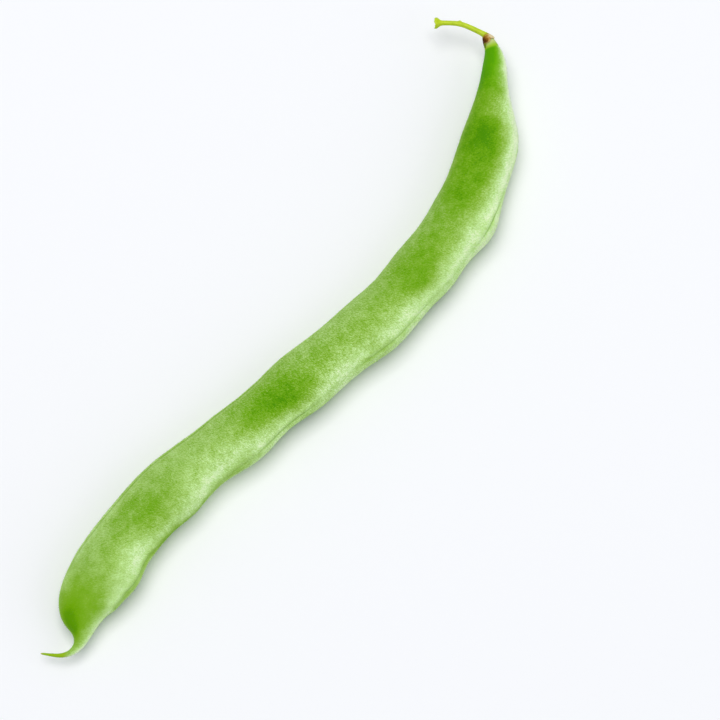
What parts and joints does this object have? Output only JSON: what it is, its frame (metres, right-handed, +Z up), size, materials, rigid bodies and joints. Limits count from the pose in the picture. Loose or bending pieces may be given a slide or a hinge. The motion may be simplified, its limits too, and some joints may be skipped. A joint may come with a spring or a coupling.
{
  "type": "green bean",
  "caption": "Fresh green bean pod lying on its side, gently S-curved, with a hooked beak, a small dried calyx cup and a short stalk: a vegetable to lay down, scatter or pile.",
  "frame": {"origin": "middle of the bounding box's footprint, on the surface the bean lies on", "axes": "+X along the bean from the hooked beak to the stalk end, +Z up, away from the surface it lies on"},
  "size_m": [0.1426, 0.0322, 0.0091],
  "materials": {
    "pod_skin": "matte, velvety green plant skin with fine short down",
    "calyx_dry": "dry brown papery plant tissue",
    "stalk_green": "satin yellow-green plant stem"
  },
  "bodies": {
    "root": {"pod": "pod_skin", "calyx": "calyx_dry", "stalk": "stalk_green"}
  },
  "joints": []
}
